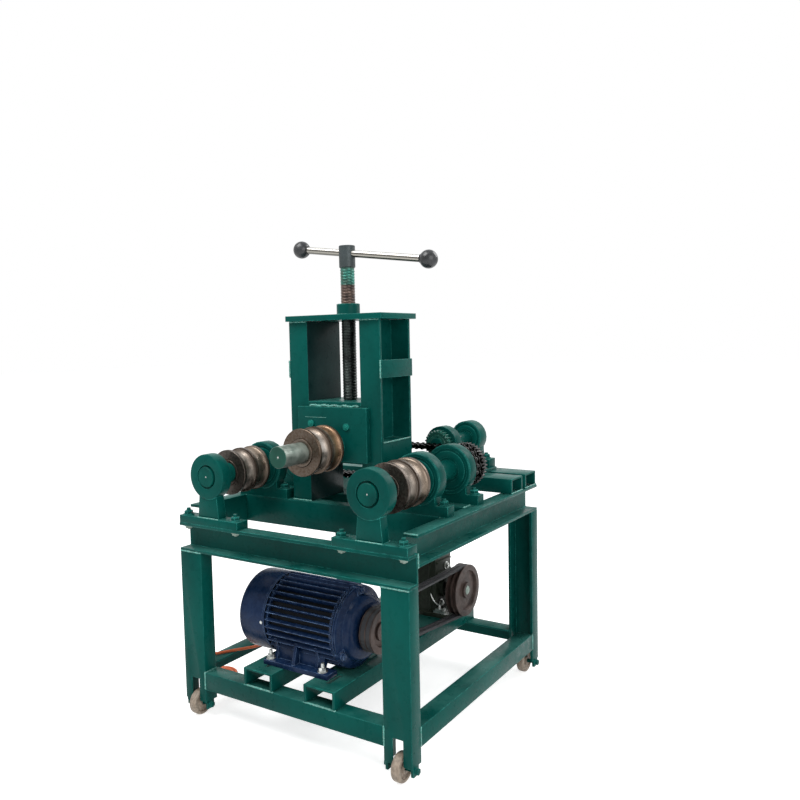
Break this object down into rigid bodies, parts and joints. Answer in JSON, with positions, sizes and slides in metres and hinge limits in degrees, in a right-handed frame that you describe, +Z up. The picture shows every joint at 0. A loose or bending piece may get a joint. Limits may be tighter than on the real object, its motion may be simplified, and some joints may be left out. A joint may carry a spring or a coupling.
{
  "type": "electric pipe bending machine",
  "caption": "Electric pipe bending machine on a wheeled channel stand: hand screw lowers a grooved die between two motor-driven grooved rollers, chain, gear and belt drive.",
  "frame": {"origin": "on the floor, midway between the sides and midway between front and rear", "axes": "+Z up, front with the open roller ends towards -Y, +X to the right seen from the front"},
  "size_m": [0.8783, 0.806, 1.3518],
  "materials": {
    "green_paint": "satin",
    "motor_paint": "satin",
    "bare_steel": "turned",
    "dark_steel": "oiled",
    "brown_iron": "machined",
    "dark_iron": "cast",
    "chrome_bar": "polished",
    "black_plastic": "gloss",
    "belt_rubber": "matt",
    "cable_orange": "satin",
    "wheel_plastic": "matt"
  },
  "bodies": {
    "stand": {"leg_front_left": "green_paint", "leg_front_right": "green_paint", "leg_rear_left": "green_paint", "leg_rear_right": "green_paint", "lower_rail_front": "green_paint", "lower_rail_rear": "green_paint", "lower_rail_left": "green_paint", "lower_rail_right": "green_paint", "front_beam": "green_paint", "side_beam_left": "green_paint", "side_beam_right": "green_paint", "cross_member_front": "green_paint", "cross_member_rear": "green_paint", "motor_rail_left": "green_paint", "motor_rail_right": "green_paint", "outboard_support_left": "green_paint", "outboard_support_right": "green_paint", "pillow_block_front_left": "green_paint", "pillow_block_front_right": "green_paint", "pillow_block_rear_left": "green_paint", "pillow_block_rear_right": "green_paint", "bearing_platform": "green_paint", "pinion_block_front": "green_paint", "pinion_block_rear": "green_paint", "tower_column_left": "green_paint", "tower_column_right": "green_paint", "tower_top_plate": "green_paint", "roller_chain": "dark_iron", "drive_chain": "dark_iron", "gearbox_housing": "dark_iron", "plug": "black_plastic", "v_belt_inner": "belt_rubber", "v_belt_outer": "belt_rubber", "motor_body": "motor_paint", "end_shield": "motor_paint", "fan_cover": "motor_paint", "power_cord": "cable_orange", "cord_coil": "cable_orange"},
    "slide": {"slide_block": "green_paint", "slide_front_plate": "green_paint"},
    "die": {"die_shaft": "dark_steel", "upper_die": "bare_steel"},
    "screw": {"lead_screw": "dark_steel"},
    "bar": {"tommy_bar": "chrome_bar", "knob_left": "black_plastic", "knob_right": "black_plastic"},
    "roller_right": {"roller_shaft_right": "dark_steel", "lower_roller_right": "bare_steel", "chain_sprocket_right": "dark_steel", "drive_gear": "dark_iron"},
    "roller_left": {"roller_shaft_left": "dark_steel", "lower_roller_left": "bare_steel"},
    "pinion": {"pinion_shaft": "dark_steel"},
    "output": {"gearbox_output_shaft": "dark_steel"},
    "worm": {"gearbox_pulley": "brown_iron"},
    "rotor": {"motor_pulley": "brown_iron"},
    "wheel_front_left": {"caster_wheel_front_left": "wheel_plastic"},
    "wheel_front_right": {"caster_wheel_front_right": "wheel_plastic"},
    "wheel_rear_left": {"caster_wheel_rear_left": "wheel_plastic"},
    "wheel_rear_right": {"caster_wheel_rear_right": "wheel_plastic"}
  },
  "joints": [
    {"name": "ram_lift", "type": "slide", "parent": "stand", "child": "slide", "axis": [0, 0, 1], "range_m": [-0.09, 0.2]},
    {"name": "screw_turn", "type": "hinge", "parent": "slide", "child": "screw", "pos_m": [0, -0.07, 1.305], "axis": [0, 0, 1], "range_deg": [-4100, 9050]},
    {"name": "bar_slide", "type": "slide", "parent": "screw", "child": "bar", "axis": [0.991, 0, -0.134], "range_m": [-0.215, 0.112]},
    {"name": "die_spin", "type": "hinge", "parent": "slide", "child": "die", "pos_m": [0, -0.07, 0.765], "axis": [0, 1, 0], "continuous": true},
    {"name": "motor_spin", "type": "hinge", "parent": "stand", "child": "rotor", "pos_m": [0, -0.223, 0.2939], "axis": [1, 0, 0], "continuous": true},
    {"name": "worm_spin", "type": "hinge", "parent": "stand", "child": "worm", "pos_m": [0, 0.262, 0.2679], "axis": [1, 0, 0], "continuous": true},
    {"name": "output_spin", "type": "hinge", "parent": "stand", "child": "output", "pos_m": [0.055, 0, 0.3929], "axis": [0, 1, 0], "continuous": true},
    {"name": "pinion_spin", "type": "hinge", "parent": "stand", "child": "pinion", "pos_m": [0.17683, 0, 0.7463], "axis": [0, 1, 0], "continuous": true},
    {"name": "roller_right_spin", "type": "hinge", "parent": "stand", "child": "roller_right", "pos_m": [0.268, 0, 0.693], "axis": [0, 1, 0], "continuous": true},
    {"name": "roller_left_spin", "type": "hinge", "parent": "stand", "child": "roller_left", "pos_m": [-0.268, 0, 0.693], "axis": [0, 1, 0], "continuous": true},
    {"name": "wheel_front_left_spin", "type": "hinge", "parent": "stand", "child": "wheel_front_left", "pos_m": [-0.34, -0.367, 0.036], "axis": [1, 0, 0], "continuous": true},
    {"name": "wheel_front_right_spin", "type": "hinge", "parent": "stand", "child": "wheel_front_right", "pos_m": [0.34, -0.367, 0.036], "axis": [1, 0, 0], "continuous": true},
    {"name": "wheel_rear_left_spin", "type": "hinge", "parent": "stand", "child": "wheel_rear_left", "pos_m": [-0.34, 0.367, 0.036], "axis": [1, 0, 0], "continuous": true},
    {"name": "wheel_rear_right_spin", "type": "hinge", "parent": "stand", "child": "wheel_rear_right", "pos_m": [0.34, 0.367, 0.036], "axis": [1, 0, 0], "continuous": true}
  ],
  "couplings": [
    {"joint": "screw_turn", "follows": "ram_lift", "rad_per_m": 785.4},
    {"joint": "worm_spin", "follows": "motor_spin", "ratio": 0.7375},
    {"joint": "output_spin", "follows": "motor_spin", "ratio": 0.024583},
    {"joint": "pinion_spin", "follows": "motor_spin", "ratio": 0.024583},
    {"joint": "roller_right_spin", "follows": "motor_spin", "ratio": -0.016389},
    {"joint": "roller_left_spin", "follows": "motor_spin", "ratio": -0.016389}
  ]
}
